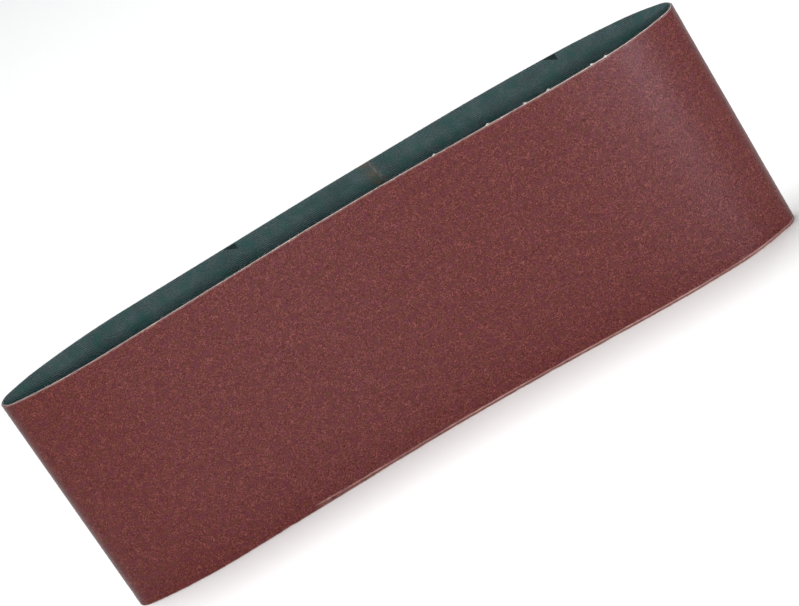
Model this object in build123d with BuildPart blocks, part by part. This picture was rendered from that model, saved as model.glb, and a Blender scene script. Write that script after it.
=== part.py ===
"""Endless abrasive sanding belt, standing on one edge in a loose, flattened loop.

The belt is a laminate: a twill cloth strip with a dressing on each side, then resin, grain and
resin again on the outside. The strip's two ends are scarfed and glued into a loop, and the
abrasive meets over that joint in a narrow slanted seam.

X runs along the loop, Y across it from the near run to the back run, and Z up the belt's width
from the edge it stands on. Sizes are in millimetres and angles in degrees.
"""

import math
import os

from build123d import *

os.makedirs("parts", exist_ok=True)

# ------------------------------------------------------------------ belt
belt_length = 610.0  # round the bare inner face
belt_width = 100.0

# Layers, in order from the inner face outwards
back_size_thickness = 0.08
cloth_thickness = 0.48
front_fill_thickness = 0.08
make_coat_thickness = 0.10
grain_thickness = 0.24
size_coat_thickness = 0.08

# ------------------------------------------------------------------ joint
splice_setback = 119.0  # middle of the joint, back from the right nose's corner
splice_slant = 14.0  # of the joint line away from square across the belt
scarf_length = 8.0  # overlap of the two tapered ends, square to the joint line
glue_film = 0.06
seam_gap = 0.5  # between the two ends of the abrasive
squeeze_out_width = 1.8
squeeze_out_height = 0.16

# ------------------------------------------------------------------ print on the inner face
ink_thickness = 0.08
arrow_length = 5.3
arrow_half_width = 2.8  # what the slitting left of the arrow, below the belt's edge
arrow_start = 72.7  # first arrow tip from the joint, along the strip
arrow_pitch = 155.8

# ------------------------------------------------------------------ how the loop lies
# Each corner of the loop's outline is (setback, y, bend radius): how far its corner is back from
# the nose at its own end, its place across the loop, and the radius of the inner face there.
near_dip = (150.0, -5.3, 575.0)
near_right_shoulder = (53.5, -12.6, 265.0)
near_right_bend = (25.5, -11.3, 57.0)
right_nose = (0.0, 0.0, 7.0)
back_right_bend = (20.5, 13.4, 54.0)
back_right_shoulder = (45.5, 20.2, 138.0)
splice_right_end = (85.0, 24.6, 420.0)
splice_left_end = (157.0, 25.0, 400.0)
back_left_shoulder = (45.5, 21.6, 138.0)
back_left_bend = (21.5, 13.2, 29.0)
left_nose = (0.0, 0.0, 7.0)
near_left_bend = (21.0, -6.3, 68.0)
near_left_shoulder = (41.5, -10.0, 128.0)

right_end = [
    near_dip,
    near_right_shoulder,
    near_right_bend,
    right_nose,
    back_right_bend,
    back_right_shoulder,
    splice_right_end,
    splice_left_end,
]
left_end = [
    back_left_shoulder,
    back_left_bend,
    left_nose,
    near_left_bend,
    near_left_shoulder,
]


def outline(half_span, outward=0.0):
    """Corners and bend radii of the loop, counter-clockwise, at a distance out from its inner face."""
    places = [Vector(half_span - setback, y) for setback, y, _ in right_end]
    places += [Vector(setback - half_span, y) for setback, y, _ in left_end]
    inner_radii = [radius for _, _, radius in right_end + left_end]
    corners, radii = [], []
    for i, place in enumerate(places):
        arriving = (place - places[i - 1]).normalized()
        leaving = (places[(i + 1) % len(places)] - place).normalized()
        normals = Vector(arriving.Y, -arriving.X) + Vector(leaving.Y, -leaving.X)
        corners.append(place + normals * (outward / (1 + arriving.dot(leaving))))
        turns_in = arriving.cross(leaving).Z < 0
        radii.append(inner_radii[i] - outward if turns_in else inner_radii[i] + outward)
    return corners, radii


def loop_length(half_span):
    """Length round the inner face: the straight sides, less what each bend cuts off its corner."""
    corners, radii = outline(half_span)
    length = 0.0
    for i, corner in enumerate(corners):
        arriving = corner - corners[i - 1]
        leaving = corners[(i + 1) % len(corners)] - corner
        turn = math.radians(arriving.get_angle(leaving))
        length += leaving.length - radii[i] * (2 * math.tan(turn / 2) - turn)
    return length


def solve_half_span():
    """Half the distance between the two nose corners that gives the loop the belt's length."""
    half_span = belt_length / 4
    for _ in range(40):
        half_span += (belt_length - loop_length(half_span)) / 4
    return half_span


def draw_loop(outward):
    """Add the closed outline to the line builder that is open."""
    corners, radii = outline(half_span, outward)
    FilletPolyline(*[corner + centring for corner in corners], radius=radii, close=True)


def layer_profile(inner, outer):
    """Plan section of one layer, between two distances out from the loop's inner face."""
    with BuildSketch() as profile:
        with BuildLine():
            draw_loop(outer)
        make_face()
        with BuildLine():
            draw_loop(inner)
        make_face(mode=Mode.SUBTRACT)
    return profile.sketch


# ------------------------------------------------------------------ layer boundaries
cloth_inner = back_size_thickness
cloth_outer = cloth_inner + cloth_thickness
backing_outer = cloth_outer + front_fill_thickness
make_outer = backing_outer + make_coat_thickness
grain_outer = make_outer + grain_thickness
belt_thickness = grain_outer + size_coat_thickness

# The origin goes to the middle of the loop's footprint.
half_span = solve_half_span()
centring = Vector(0, 0)
with BuildLine() as footprint:
    draw_loop(belt_thickness)
centring = -footprint.line.bounding_box().center()

# ------------------------------------------------------------------ joint planes
# The joint lies in the straight stretch of the back run, where the glued lap is stiffest.
corners, _ = outline(half_span)
stretch_right = corners[right_end.index(splice_right_end)] + centring
stretch_left = corners[right_end.index(splice_left_end)] + centring
along_run = (stretch_left - stretch_right).normalized()
run_share = (splice_setback - splice_right_end[0]) / (splice_left_end[0] - splice_right_end[0])
splice_middle = stretch_right + (stretch_left - stretch_right) * run_share
# Local X runs left along the strip, local Y up the belt, local Z out through the thickness.
splice_face = Plane(
    origin=splice_middle + Vector(0, 0, belt_width / 2),
    x_dir=along_run,
    z_dir=Vector(along_run.Y, -along_run.X, 0),
)
slant = math.radians(splice_slant)
joint_line = splice_face.x_dir * math.sin(slant) + splice_face.y_dir * math.cos(slant)
# Square to the joint line: local X across the joint, local Y out through the thickness.
joint_section = Plane(
    origin=splice_face.origin,
    x_dir=splice_face.z_dir.cross(joint_line),
    z_dir=joint_line,
)
joint_reach = belt_width / math.cos(slant)

# ------------------------------------------------------------------ tools that cut the joint
taper = math.atan2(backing_outer, scarf_length)
film_half = glue_film / math.sin(taper) / 2
overrun = 0.5  # how far the cutters run past the faces they cut
film_overrun = overrun / math.tan(taper)

with BuildPart() as scarf_cutter:
    with BuildSketch(joint_section):
        with BuildLine():
            Polyline(
                (-scarf_length / 2 - film_overrun - film_half, -overrun),
                (-scarf_length / 2 - film_overrun + film_half, -overrun),
                (scarf_length / 2 + film_overrun + film_half, backing_outer + overrun),
                (scarf_length / 2 + film_overrun - film_half, backing_outer + overrun),
                close=True,
            )
        make_face()
    extrude(amount=joint_reach, both=True)

seam_centre = scarf_length / 2
with BuildPart() as seam_cutter:
    with BuildSketch(joint_section):
        with Locations((seam_centre, (backing_outer + belt_thickness) / 2)):
            Rectangle(seam_gap, belt_thickness - backing_outer + 2 * overrun)
    extrude(amount=joint_reach, both=True)

# ------------------------------------------------------------------ back_size_coat
with BuildPart() as back_size_coat:
    add(layer_profile(0, cloth_inner))
    extrude(amount=belt_width)
    add(scarf_cutter.part, mode=Mode.SUBTRACT)
back_size_coat.part.label = "back_size_coat"
export_step(back_size_coat.part, "parts/back_size_coat.step")

# ------------------------------------------------------------------ backing_cloth
with BuildPart() as backing_cloth:
    add(layer_profile(cloth_inner, cloth_outer))
    extrude(amount=belt_width)
    add(scarf_cutter.part, mode=Mode.SUBTRACT)
backing_cloth.part.label = "backing_cloth"
export_step(backing_cloth.part, "parts/backing_cloth.step")

# ------------------------------------------------------------------ front_fill_coat
with BuildPart() as front_fill_coat:
    add(layer_profile(cloth_outer, backing_outer))
    extrude(amount=belt_width)
    add(scarf_cutter.part, mode=Mode.SUBTRACT)
front_fill_coat.part.label = "front_fill_coat"
export_step(front_fill_coat.part, "parts/front_fill_coat.step")

# ------------------------------------------------------------------ make_coat
with BuildPart() as make_coat:
    add(layer_profile(backing_outer, make_outer))
    extrude(amount=belt_width)
    add(seam_cutter.part, mode=Mode.SUBTRACT)
make_coat.part.label = "make_coat"
export_step(make_coat.part, "parts/make_coat.step")

# ------------------------------------------------------------------ abrasive_grain
with BuildPart() as abrasive_grain:
    add(layer_profile(make_outer, grain_outer))
    extrude(amount=belt_width)
    add(seam_cutter.part, mode=Mode.SUBTRACT)
abrasive_grain.part.label = "abrasive_grain"
export_step(abrasive_grain.part, "parts/abrasive_grain.step")

# ------------------------------------------------------------------ size_coat
with BuildPart() as size_coat:
    add(layer_profile(grain_outer, belt_thickness))
    extrude(amount=belt_width)
    add(seam_cutter.part, mode=Mode.SUBTRACT)
size_coat.part.label = "size_coat"
export_step(size_coat.part, "parts/size_coat.step")

# ------------------------------------------------------------------ splice_glue
# The film fills the scarf from the inner face to the underside of the abrasive.
with BuildPart() as splice_glue:
    add(layer_profile(0, backing_outer))
    extrude(amount=belt_width)
    add(scarf_cutter.part, mode=Mode.INTERSECT)
splice_glue.part.label = "splice_glue"
export_step(splice_glue.part, "parts/splice_glue.step")

# ------------------------------------------------------------------ splice_squeeze_out
# A low line of glue on the inner face, over the film's edge, cut flush with both belt edges.
with BuildPart() as splice_squeeze_out:
    with BuildSketch(joint_section):
        with BuildLine():
            foot_end = -scarf_length / 2 + film_half
            foot_start = foot_end - squeeze_out_width
            feather = squeeze_out_width / 4
            Polyline(
                (foot_start, 0),
                (foot_end, 0),
                (foot_end - feather, -squeeze_out_height),
                (foot_start + feather, -squeeze_out_height),
                close=True,
            )
        make_face()
    extrude(amount=joint_reach, both=True)
    with BuildSketch():
        Rectangle(2 * belt_length, 2 * belt_length)
    extrude(amount=belt_width, mode=Mode.INTERSECT)
splice_squeeze_out.part.label = "splice_squeeze_out"
export_step(splice_squeeze_out.part, "parts/splice_squeeze_out.step")

# ------------------------------------------------------------------ direction_arrows
# Halves of printed arrowheads that the belt's upper edge cuts through, repeated along the strip.
with BuildLine() as inner_face:
    draw_loop(0)
strip = inner_face.wires()[0]
seam_point = splice_face.origin + joint_line * (belt_width / 2 / math.cos(slant))
seam_distance = strip.param_at_point(Vector(seam_point.X, seam_point.Y, 0)) * strip.length
arrow_count = int((belt_length - arrow_start) / arrow_pitch) + 1

with BuildPart() as direction_arrows:
    for i in range(arrow_count):
        distance = (seam_distance - arrow_start - i * arrow_pitch) % strip.length
        tip = strip.position_at(distance / strip.length)
        run = strip.tangent_at(distance / strip.length)
        inward = Vector(-run.Y, run.X, 0)
        with BuildSketch(Plane(origin=tip + Vector(0, 0, belt_width), x_dir=-run, z_dir=inward)):
            with BuildLine():
                Polyline((0, 0), (arrow_length, 0), (arrow_length, -arrow_half_width), close=True)
            make_face()
        extrude(amount=arrow_length, both=True)
    with BuildSketch():
        add(layer_profile(-ink_thickness, 0))
    extrude(amount=belt_width, mode=Mode.INTERSECT)
direction_arrows.part.label = "direction_arrows"
export_step(direction_arrows.part, "parts/direction_arrows.step")

print("half span between nose corners", round(half_span, 3))
print("loop length", round(strip.length, 3), "joint at", splice_middle)
print("footprint", footprint.line.bounding_box().size)
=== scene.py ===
"""Endless abrasive sanding belt, standing on one edge in a loose, flattened loop.

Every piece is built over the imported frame. A place on the strip is given by s, along the inner face
from the middle of the joint, z, up the width, and n, out from the inner face, in millimetres.
"""

import logging
import math
from collections.abc import Callable, Sequence
from dataclasses import dataclass, field
from enum import Enum, IntEnum

import bpy
import numpy as np
from mathutils import Matrix, Vector


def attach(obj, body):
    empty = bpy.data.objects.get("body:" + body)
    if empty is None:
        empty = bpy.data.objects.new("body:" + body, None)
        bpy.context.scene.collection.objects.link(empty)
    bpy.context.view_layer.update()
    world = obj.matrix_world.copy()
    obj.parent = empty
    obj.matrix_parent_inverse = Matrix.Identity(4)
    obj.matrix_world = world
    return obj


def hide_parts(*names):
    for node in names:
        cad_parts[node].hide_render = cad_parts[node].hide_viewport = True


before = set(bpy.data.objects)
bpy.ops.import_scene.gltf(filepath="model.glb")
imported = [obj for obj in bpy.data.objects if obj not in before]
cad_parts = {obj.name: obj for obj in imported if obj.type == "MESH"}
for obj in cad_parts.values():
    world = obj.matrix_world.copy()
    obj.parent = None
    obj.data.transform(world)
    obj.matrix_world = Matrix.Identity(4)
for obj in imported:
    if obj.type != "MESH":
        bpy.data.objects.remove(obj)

MM = 0.001
STRIP_MAP = "strip"
WEAR = "wear"
TONE = "tone"
BODY = "root"
PRIMES = (374761393, 668265263, 1274126177, 1103515245)  # odd factors that scramble lattice points
LOW_32_BITS = 0xFFFFFFFF
LOW_16_BITS = 0xFFFF
Colour = tuple[float, float, float]
Array = np.ndarray
Piece = bpy.types.Object
Tree = bpy.types.NodeTree
ROUND = 610.0  # millimetres round the loop
RIB_PITCH = ROUND / 803  # whole ribs all the way round
RIB_RISE = 1.7  # millimetres that a rib climbs for each one along the strip

log = logging.getLogger("sanding_belt")


class Seed(IntEnum):
    """Fixed seeds of the random patterns."""

    UPPER_CHIPS = 11
    LOWER_CHIPS = 21
    COAT = 31
    BEAD_SWELL = 41
    BEAD_DROPS = 42
    BEAD_WIDTH = 43
    BEAD_PLACE = 44
    BEAD_SKIN = 45
    PRINT = 51
    SCUFF_HEIGHT = 71
    SCUFF_SPECKS = 72
    LIP_SPECKS = 73
    SCUFF_BREAKS = 74
    GRAINS = 100


# ---------------- node trees
@dataclass
class Wire:
    """A socket that gives a value; arithmetic on it adds Math nodes to its graph."""

    graph: "Graph"
    socket: bpy.types.NodeSocket

    def of(self, output: str | int) -> "Wire":
        """Another output of the same node."""
        return Wire(self.graph, self.socket.node.outputs[output])

    def _math(self, operation: str, *values: "Wire | float") -> "Wire":
        """A Math node on the given values."""
        return self.graph.add("ShaderNodeMath", {"operation": operation}, dict(enumerate(values)))

    def __add__(self, other: "Wire | float") -> "Wire":
        """This value plus another."""
        return self._math("ADD", self, other)

    def __radd__(self, other: float) -> "Wire":
        """A number plus this value."""
        return self._math("ADD", other, self)

    def __sub__(self, other: "Wire | float") -> "Wire":
        """This value less another."""
        return self._math("SUBTRACT", self, other)

    def __rsub__(self, other: float) -> "Wire":
        """A number less this value."""
        return self._math("SUBTRACT", other, self)

    def __mul__(self, other: "Wire | float") -> "Wire":
        """This value times another."""
        return self._math("MULTIPLY", self, other)

    def __truediv__(self, other: "Wire | float") -> "Wire":
        """This value over another."""
        return self._math("DIVIDE", self, other)

    def __pow__(self, other: float) -> "Wire":
        """This value to a power."""
        return self._math("POWER", self, other)

    def sine(self) -> "Wire":
        """Sine of the value, in radians."""
        return self._math("SINE", self)

    def ramp(self, low: float, high: float) -> "Wire":
        """0 below low, 1 above high, and a straight line between."""
        return self.graph.add("ShaderNodeMapRange", {"clamp": True}, {0: self, 1: low, 2: high})


@dataclass
class Graph:
    """A node tree and the one method that adds nodes to it."""

    tree: Tree

    def add(
        self,
        kind: str,
        settings: dict[str, object] | None = None,
        values: dict[str | int, object] | None = None,
        output: str | int = 0,
    ) -> Wire:
        """Add one node.

        Args:
            kind: Node type.
            settings: The node's own properties, or "stops" for a colour ramp, set first.
            values: Value or Wire for each input, by name or index.
            output: Which output to return.

        Returns:
            The chosen output.
        """
        node = self.tree.nodes.new(kind)
        for name, value in (settings or {}).items():
            if name == "stops":
                while len(node.color_ramp.elements) < len(value):
                    node.color_ramp.elements.new(0.5)
                for element, (place, colour) in zip(node.color_ramp.elements, value):
                    element.position, element.color = place, (*colour, 1.0)
            else:
                setattr(node, name, value)
        for name, value in (values or {}).items():
            if isinstance(value, Wire):
                self.tree.links.new(value.socket, node.inputs[name])
            else:
                node.inputs[name].default_value = value
        return Wire(self, node.outputs[output] if len(node.outputs) else None)

    def mix(self, share: Wire | float, first: object, second: object) -> Wire:
        """Blend two colours, each a Wire or an RGB tuple."""
        first, second = (c if isinstance(c, Wire) else (*c, 1.0) for c in (first, second))
        return self.add("ShaderNodeMix", {"data_type": "RGBA"}, {0: share, 6: first, 7: second}, 2)

    def parts(self, vector: Wire) -> Wire:
        """X of a vector; the same node gives its Y and Z."""
        return self.add("ShaderNodeSeparateXYZ", None, {0: vector})

    def joined(self, x: Wire | float = 0.0, y: Wire | float = 0.0, z: Wire | float = 0.0) -> Wire:
        """A vector of three numbers."""
        return self.add("ShaderNodeCombineXYZ", None, {0: x, 1: y, 2: z})

    def scaled(self, vector: Wire, share: Wire | float) -> Wire:
        """A vector times a number."""
        return self.add("ShaderNodeVectorMath", {"operation": "SCALE"}, {0: vector, 3: share})


# ---------------- the strip's path
@dataclass(frozen=True)
class Bend:
    """One corner of the loop's outline and how the inner face rounds it."""

    setback: float  # from the nose corner at its own end
    across: float
    radius: float


@dataclass
class BeltLoop:
    """Plan line of the strip's inner face, counter-clockwise, with the joint's place on it."""

    length: float = 610.0
    width: float = 100.0
    thickness: float = 1.06
    backing: float = 0.64
    joint_setback: float = 119.0
    joint_slant: float = 14.0
    scarf: float = 8.0
    film: float = 0.06  # thickness of the glue film
    film_share: float = 0.75  # of the film's slanted width that is left along the strip
    straighten: float = 45.0  # how far from the joint its slant dies out
    fit_rounds: int = 40
    fit_step: float = 0.05
    turn_step: float = 0.06  # radians between stations on a bend
    right_bends: tuple[Bend, ...] = (
        Bend(150.0, -5.3, 575.0),
        Bend(53.5, -12.6, 265.0),
        Bend(25.5, -11.3, 57.0),
        Bend(0.0, 0.0, 7.0),
        Bend(20.5, 13.4, 54.0),
        Bend(45.5, 20.2, 138.0),
        Bend(85.0, 24.6, 420.0),
        Bend(157.0, 25.0, 400.0),
    )
    left_bends: tuple[Bend, ...] = (
        Bend(45.5, 21.6, 138.0),
        Bend(21.5, 13.2, 29.0),
        Bend(0.0, 0.0, 7.0),
        Bend(21.0, -6.3, 68.0),
        Bend(41.5, -10.0, 128.0),
    )
    joint_bend: int = 6  # the joint lies on the straight after this corner
    runs: Array = field(init=False)

    def __post_init__(self) -> None:
        """Fit the noses' distance to the strip's length and centre the loop on its box."""
        half_span = self.length / 4
        for _ in range(self.fit_rounds):
            self.runs = self._lay(half_span)
            half_span += (self.length - self.runs[:, 1].sum()) / 4
        along = np.arange(0.0, self.length, self.fit_step)
        x, y, heading = self.trace(along)
        x, y = x + self.thickness * np.sin(heading), y - self.thickness * np.cos(heading)
        self.runs[:, 2] -= (x.max() + x.min()) / 2
        self.runs[:, 3] -= (y.max() + y.min()) / 2
        run = self.runs[2 * self.joint_bend + 1]
        share = (half_span - self.joint_setback - run[2] - (x.max() + x.min()) / 2) / math.cos(run[4])
        self.runs[:, 0] -= run[0] + share

    def _lay(self, half_span: float) -> Array:
        """Arcs and straights in order, one row each.

        Args:
            half_span: Half the distance between the two nose corners.

        Returns:
            Rows of start distance, length, x, y, heading and curvature.
        """
        bends = [(half_span - b.setback, b) for b in self.right_bends]
        bends += [(b.setback - half_span, b) for b in self.left_bends]
        places = [Vector((x, b.across)) for x, b in bends]
        rows, along = [], 0.0
        for i, (_, bend) in enumerate(bends):
            arriving = (places[i] - places[i - 1]).normalized()
            ahead = places[(i + 1) % len(places)] - places[i]
            turn = -arriving.angle_signed(ahead)
            start = places[i] - arriving * bend.radius * math.tan(abs(turn) / 2)
            heading = math.atan2(arriving.y, arriving.x)
            arc = bend.radius * abs(turn)
            rows.append([along, arc, *start, heading, math.copysign(1 / bend.radius, turn)])
            along += arc
            following = places[(i + 2) % len(places)] - places[(i + 1) % len(places)]
            reach = bends[(i + 1) % len(bends)][1].radius * math.tan(ahead.angle(following) / 2)
            leave = bend.radius * math.tan(abs(turn) / 2)
            foot = places[i] + ahead.normalized() * leave
            straight = ahead.length - leave - reach
            rows.append([along, straight, *foot, heading + turn, 0.0])
            along += straight
        return np.array(rows)

    def trace(self, along: Array) -> tuple[Array, Array, Array]:
        """Point and heading of the inner face at each distance along it.

        Args:
            along: Distances in millimetres, of any size.

        Returns:
            x, y and heading, each with the shape of along.
        """
        first = self.runs[0, 0]
        along = (np.asarray(along, float) - first) % self.length + first
        rows = self.runs[np.searchsorted(self.runs[:, 0], along, side="right") - 1]
        start, _, x, y, heading, curve = np.moveaxis(rows, -1, 0)
        step = along - start
        bent = np.abs(curve) > 0
        safe = np.where(bent, curve, 1.0)
        end = heading + curve * step
        over = np.where(bent, (np.sin(end) - np.sin(heading)) / safe, step * np.cos(heading))
        up = np.where(bent, (np.cos(heading) - np.cos(end)) / safe, step * np.sin(heading))
        return x + over, y + up, end

    def place(self, s: Array, z: Array, n: Array) -> Array:
        """Points in metres for places on the strip, with x, y, z last.

        Args:
            s: Distances along the inner face.
            z: Heights.
            n: Depths out from the inner face.

        Returns:
            An array of points.
        """
        s, z, n = np.broadcast_arrays(s, z, n)
        x, y, heading = self.trace(s)
        return np.stack([x + n * np.sin(heading), y - n * np.cos(heading), z], axis=-1) * MM

    def stations(self, start: float, end: float, finest: float, coarsest: float) -> Array:
        """Distances along the strip, closer together where it bends more.

        Args:
            start: The first.
            end: The last.
            finest: Smallest step.
            coarsest: Largest step.

        Returns:
            The distances in order.
        """
        found = [start]
        while found[-1] < end:
            first = self.runs[0, 0]
            along = (found[-1] - first) % self.length + first
            curve = abs(self.runs[np.searchsorted(self.runs[:, 0], along, side="right") - 1, 5])
            found.append(found[-1] + min(coarsest, max(finest, self.turn_step / max(curve, 1e-6))))
        kept = found[:-1] if end - found[-2] > finest / 2 else found[:-2]
        return np.array(kept + [end])

    def slant_at(self, z: Array) -> Array:
        """How far along the strip the joint's line is at height z."""
        return (np.asarray(z) - self.width / 2) * math.tan(math.radians(self.joint_slant))

    def film_width(self) -> float:
        """How wide the glue film is along the strip."""
        return self.film * self.film_share / math.sin(math.atan2(self.backing, self.scarf))

    def film_at(self, z: Array, n: Array) -> Array:
        """Middle of the glue film at height z and depth n."""
        reach = self.scarf / math.cos(math.radians(self.joint_slant))
        return self.slant_at(z) + reach * (0.5 - np.asarray(n) / self.backing)

    def seam_at(self, z: Array, n: Array) -> Array:
        """Middle of the gap between the abrasive's two ends at height z."""
        reach = self.scarf / math.cos(math.radians(self.joint_slant))
        return self.slant_at(z) - reach / 2 + 0.0 * np.asarray(n)

    def lean(self, column: Array, z: Array, n: Array, cut: Callable) -> Array:
        """Distances along the strip of upright columns, leant over near the joint to follow its cut.

        Args:
            column: Distances that the columns would have with no slant, from 0 to the strip's length.
            z: Heights.
            n: Depths.
            cut: film_at or seam_at.

        Returns:
            Distances that meet the cut exactly at both ends of the strip.
        """
        near_start = np.clip(1 - column / self.straighten, 0, 1)
        near_end = np.clip(1 - (self.length - column) / self.straighten, 0, 1)
        return column + cut(z, n) * (near_start + near_end)


def lumps(s: Array, z: Array, pitch: float, seed: int) -> Array:
    """Smooth random values from -1 to 1 with hills about pitch apart.

    Args:
        s: First coordinate.
        z: Second coordinate.
        pitch: Distance between hills.
        seed: Fixes the pattern.

    Returns:
        One value for each place.
    """
    s, z = np.broadcast_arrays(np.asarray(s, float) / pitch, np.asarray(z, float) / pitch)
    left, low = np.floor(s).astype(np.int64), np.floor(z).astype(np.int64)

    def corner(i: Array, j: Array) -> Array:
        """Random value of one lattice point."""
        mixed = (i * PRIMES[0] + j * PRIMES[1] + seed * PRIMES[2]) & LOW_32_BITS
        mixed = ((mixed ^ (mixed >> 13)) * PRIMES[3] + 12345) & LOW_32_BITS
        return ((mixed ^ (mixed >> 16)) & LOW_16_BITS) / (LOW_16_BITS / 2) - 1

    a, b = s - left, z - low
    a, b = a * a * (3 - 2 * a), b * b * (3 - 2 * b)
    under = corner(left, low) * (1 - a) + corner(left + 1, low) * a
    over = corner(left, low + 1) * (1 - a) + corner(left + 1, low + 1) * a
    return under * (1 - b) + over * b


# ---------------- meshes
def linked(name: str, data: bpy.types.ID) -> Piece:
    """A new object at the origin that shows a mesh, a lamp or a camera."""
    made = bpy.data.objects.new(name, data)
    bpy.context.collection.objects.link(made)
    return made


def new_line(name: str, points: Array, links: Sequence[tuple[int, int]]) -> Piece:
    """Bare edges for a tree to grow on.

    Args:
        name: Object name.
        points: Vertices in metres.
        links: Vertex indices of each edge.

    Returns:
        The object.
    """
    mesh = bpy.data.meshes.new(name)
    mesh.from_pydata(points.tolist(), links, [])
    return linked(name, mesh)


def belongs(piece: Piece, node: str | None = None) -> Piece:
    """Put a piece on the belt's body and in place of its CAD node.

    Args:
        piece: The piece.
        node: CAD node that it replaces, if it replaces one.

    Returns:
        The same piece.
    """
    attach(piece, BODY)
    if node:
        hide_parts(node)
    return piece


def new_piece(
    name: str,
    points: Array,
    faces: Array | Sequence[Sequence[int]],
    strip: Array | None = None,
    wear: Array | None = None,
    crease: float = 40.0,
) -> Piece:
    """Make a mesh object at the origin.

    Args:
        name: Piece name.
        points: Vertices in metres.
        faces: Vertex indices of each face.
        strip: Place along and up the strip of each vertex, for the piece's own UV map.
        wear: How worn each vertex is, from 0 to 1.
        crease: Angle in degrees past which an edge shades sharp.

    Returns:
        The object, linked to the scene.
    """
    mesh = bpy.data.meshes.new(name)
    mesh.from_pydata(points.reshape(-1, 3).tolist(), [], [list(f) for f in faces])
    if strip is not None:
        layer = mesh.uv_layers.new(name=STRIP_MAP)
        corners = np.empty(len(mesh.loops), np.int32)
        mesh.loops.foreach_get("vertex_index", corners)
        layer.uv.foreach_set("vector", strip.reshape(-1, 2)[corners].astype(np.float32).ravel())
    if wear is not None:
        spot = mesh.attributes.new(WEAR, "FLOAT", "POINT")
        spot.data.foreach_set("value", wear.astype(np.float32).ravel())
    mesh.shade_smooth()
    mesh.set_sharp_from_angle(angle=math.radians(crease))
    return linked(name, mesh)


def quads(rows: int, columns: int, first: int = 0, inward: bool = False) -> Array:
    """Faces of a grid of vertices, its columns running along the strip and its rows up it.

    Args:
        rows: Vertices up the strip.
        columns: Vertices along it.
        first: Index of the first vertex.
        inward: Whether the faces look inward.

    Returns:
        Four vertex indices for each face.
    """
    index = first + np.arange(rows * columns).reshape(rows, columns)
    around = [index[:-1, :-1], index[:-1, 1:], index[1:, 1:], index[1:, :-1]]
    return np.stack(around[::-1] if inward else around, axis=-1).reshape(-1, 4)


def slab_faces(rows: int, columns: int) -> Array:
    """Faces of a closed slab whose outer grid of vertices comes before its inner one.

    Args:
        rows: Vertices up each grid.
        columns: Vertices along it.

    Returns:
        Four vertex indices for each face.
    """
    half = rows * columns
    outer = np.arange(half).reshape(rows, columns)
    inner = outer + half
    rim = [
        [outer[-1, :-1], outer[-1, 1:], inner[-1, 1:], inner[-1, :-1]],
        [inner[0, :-1], inner[0, 1:], outer[0, 1:], outer[0, :-1]],
        [inner[:-1, 0], outer[:-1, 0], outer[1:, 0], inner[1:, 0]],
        [outer[:-1, -1], inner[:-1, -1], inner[1:, -1], outer[1:, -1]],
    ]
    caps = [np.stack(side, axis=-1) for side in rim]
    return np.concatenate([quads(rows, columns), quads(rows, columns, half, True), *caps])


def grown(
    start: Piece,
    tree: Tree,
    name: str,
    finish: "Finish",
    sizes: dict[str, float],
    others: dict[str, float] | None = None,
) -> Piece:
    """Run a Geometry Nodes tree on a piece and keep only its result, as a plain mesh.

    Args:
        start: The mesh that the tree starts from, which is removed.
        tree: The tree.
        name: Name of the new piece.
        finish: What the tree's result is made of.
        sizes: Named inputs of the tree that are lengths, in millimetres.
        others: Named inputs that aren't lengths.

    Returns:
        The new piece.
    """
    values = {key: size * MM for key, size in sizes.items()} | (others or {})
    values["Finish"] = finish.material()
    modifier = start.modifiers.new("grow", "NODES")
    modifier.node_group = tree
    for item in tree.interface.items_tree:
        if item.in_out == "INPUT" and item.name in values:
            modifier[item.identifier] = values[item.name]
    graph = bpy.context.evaluated_depsgraph_get()
    evaluated = start.evaluated_get(graph)
    mesh = bpy.data.meshes.new_from_object(evaluated, preserve_all_data_layers=True, depsgraph=graph)
    start.modifiers.remove(modifier)
    spent = start.data
    bpy.data.objects.remove(start, do_unlink=True)
    bpy.data.meshes.remove(spent)
    mesh.name = name
    return linked(name, mesh)


class Socket(Enum):
    """Kinds of input that the trees take."""

    GEOMETRY = "NodeSocketGeometry"
    NUMBER = "NodeSocketFloat"
    WHOLE = "NodeSocketInt"
    FINISH = "NodeSocketMaterial"


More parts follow.
